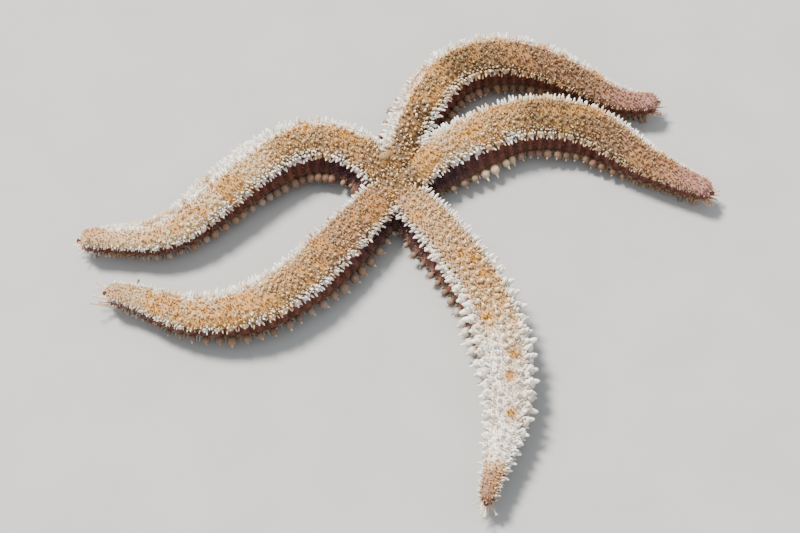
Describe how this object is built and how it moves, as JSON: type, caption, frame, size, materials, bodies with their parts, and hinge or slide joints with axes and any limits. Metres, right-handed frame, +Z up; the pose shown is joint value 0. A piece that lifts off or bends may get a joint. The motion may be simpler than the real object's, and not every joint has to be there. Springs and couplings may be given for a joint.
{
  "type": "starfish",
  "caption": "Spiny starfish lying on the floor, small disc with slender bent arms, marginal rows of spines, grooved underside and a madreporite; a still life-size model.",
  "frame": {"origin": "centre of the bounding box, on the floor under the soles", "axes": "+Z up from the floor through the animal's back, +X towards the tips of arms D and E, -Y towards the tip of arm A"},
  "size_m": [0.2034, 0.1707, 0.0145],
  "materials": {
    "skin": "moist, orange tan with ochre blotches, set with short white spines",
    "tip_skin": "moist, tan turning pinkish purple at the end",
    "sieve_plate": "matte chalky calcite with fine winding grooves",
    "eyespot": "moist dark red"
  },
  "bodies": {
    "root": {"arm_A_base": "skin", "arm_A_middle": "skin", "arm_A_tip": "tip_skin", "arm_B_base": "skin", "arm_B_middle": "skin", "arm_B_tip": "tip_skin", "arm_C_base": "skin", "arm_C_middle": "skin", "arm_C_tip": "tip_skin", "arm_D_base": "skin", "arm_D_middle": "skin", "arm_D_tip": "tip_skin", "arm_E_base": "skin", "arm_E_middle": "skin", "arm_E_tip": "tip_skin", "disc": "skin", "madreporite": "sieve_plate", "eye_A": "eyespot", "eye_B": "eyespot", "eye_C": "eyespot", "eye_D": "eyespot", "eye_E": "eyespot"}
  },
  "joints": []
}
